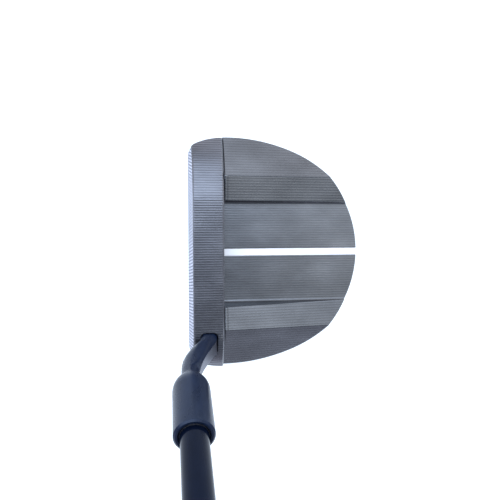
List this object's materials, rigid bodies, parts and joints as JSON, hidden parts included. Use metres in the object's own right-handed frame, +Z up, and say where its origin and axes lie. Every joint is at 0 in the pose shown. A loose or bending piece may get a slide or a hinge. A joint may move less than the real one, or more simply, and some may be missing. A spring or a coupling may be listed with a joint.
{
  "type": "mallet putter",
  "caption": "Right-handed mallet putter: D-shaped milled head with a sunken channel and white sight line, slanting black neck, stepped black shaft and rubber grip.",
  "frame": {"origin": "on the ground plane, on the flat of the sole under the middle of the sight line", "axes": "+X to the heel and the shaft, -X to the toe, -Y the way the face looks, +Y to the tail, +Z up with the club soled at its lie"},
  "size_m": [0.3877, 0.0914, 0.8162],
  "materials": {
    "anodised_body": "grey anodised, milled in fine parallel lines",
    "bright_face": "bright, milled in a fine diamond pattern",
    "adhesive": "cured adhesive",
    "white_line": "smooth white fill",
    "black_neck": "black, satin",
    "steel_fasteners": "plain steel",
    "weight_steel": "turned stainless steel",
    "nylon": "natural nylon",
    "black_shaft": "black, smooth",
    "tape": "double-sided tape",
    "grip_rubber": "moulded rubber with a fine raised texture",
    "cap_rubber": "smooth moulded rubber"
  },
  "bodies": {
    "root": {"front_bar": "anodised_body", "rear_body": "anodised_body", "face_insert": "bright_face", "insert_bond": "adhesive", "sight_line": "white_line", "neck": "black_neck", "neck_screw": "steel_fasteners", "neck_pin": "steel_fasteners", "body_screws": "steel_fasteners", "body_dowels": "steel_fasteners", "toe_weight": "weight_steel", "heel_weight": "weight_steel", "weight_screws": "steel_fasteners", "weight_washers": "nylon", "shaft": "black_shaft", "shaft_bond": "adhesive", "grip_tape": "tape", "grip": "grip_rubber", "grip_cap": "cap_rubber"}
  },
  "joints": []
}
